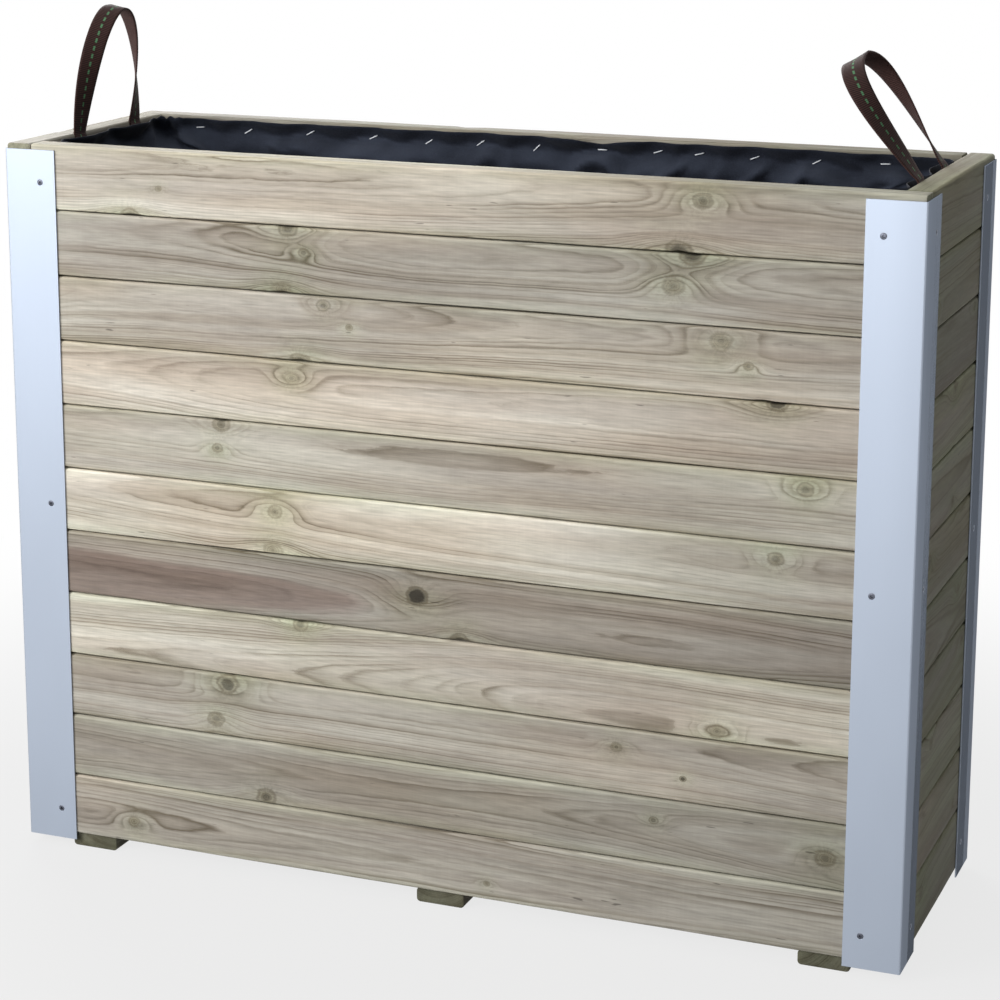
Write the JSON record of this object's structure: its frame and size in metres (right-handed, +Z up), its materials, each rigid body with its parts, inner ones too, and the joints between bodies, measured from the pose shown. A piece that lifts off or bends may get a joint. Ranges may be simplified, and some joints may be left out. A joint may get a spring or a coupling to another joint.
{
  "type": "tall wooden planter",
  "caption": "Tall oblong timber planter box of stacked rounded boards with metal corner angles, runners underneath, a stapled fabric liner and webbing carry loops at the ends.",
  "frame": {"origin": "centre of the footprint on the surface that the runners stand on", "axes": "+X along the front from left to right, +Y from the front to the back, +Z up"},
  "size_m": [1.0036, 0.3236, 0.9319],
  "materials": {
    "boards": "planed pressure-treated softwood",
    "metal": "satin",
    "runners": "pressure-treated softwood",
    "timber": "sawn pressure-treated softwood",
    "liner": "non-woven geotextile",
    "webbing": "ribbed flat webbing"
  },
  "bodies": {
    "planter": {"front_board_01": "boards", "front_board_02": "boards", "front_board_03": "boards", "front_board_04": "boards", "front_board_05": "boards", "front_board_06": "boards", "front_board_07": "boards", "front_board_08": "boards", "front_board_09": "boards", "front_board_10": "boards", "front_board_11": "boards", "right_end_board_01": "boards", "right_end_board_02": "boards", "right_end_board_03": "boards", "right_end_board_04": "boards", "right_end_board_05": "boards", "right_end_board_06": "boards", "right_end_board_07": "boards", "right_end_board_08": "boards", "right_end_board_09": "boards", "right_end_board_10": "boards", "right_end_board_11": "boards", "back_board_01": "boards", "back_board_02": "boards", "back_board_03": "boards", "back_board_04": "boards", "back_board_05": "boards", "back_board_06": "boards", "back_board_07": "boards", "back_board_08": "boards", "back_board_09": "boards", "back_board_10": "boards", "back_board_11": "boards", "left_end_board_01": "boards", "left_end_board_02": "boards", "left_end_board_03": "boards", "left_end_board_04": "boards", "left_end_board_05": "boards", "left_end_board_06": "boards", "left_end_board_07": "boards", "left_end_board_08": "boards", "left_end_board_09": "boards", "left_end_board_10": "boards", "left_end_board_11": "boards", "front_left_angle": "metal", "front_right_angle": "metal", "back_right_angle": "metal", "back_left_angle": "metal", "left_runner": "runners", "middle_runner": "runners", "right_runner": "runners", "floor_board_1": "timber", "floor_board_2": "timber", "front_left_post": "timber", "front_right_post": "timber", "back_right_post": "timber", "back_left_post": "timber", "liner": "liner"},
    "left_strap": {"left_strap_loop": "webbing"},
    "right_strap": {"right_strap_loop": "webbing"}
  },
  "joints": [
    {"name": "left_strap_swing", "type": "hinge", "parent": "planter", "child": "left_strap", "pos_m": [-0.4724, 0, 0.7956], "axis": [0, 1, 0], "range_deg": [-70, 78]},
    {"name": "right_strap_swing", "type": "hinge", "parent": "planter", "child": "right_strap", "pos_m": [0.4724, 0, 0.7956], "axis": [0, -1, 0], "range_deg": [-98, 50]}
  ]
}
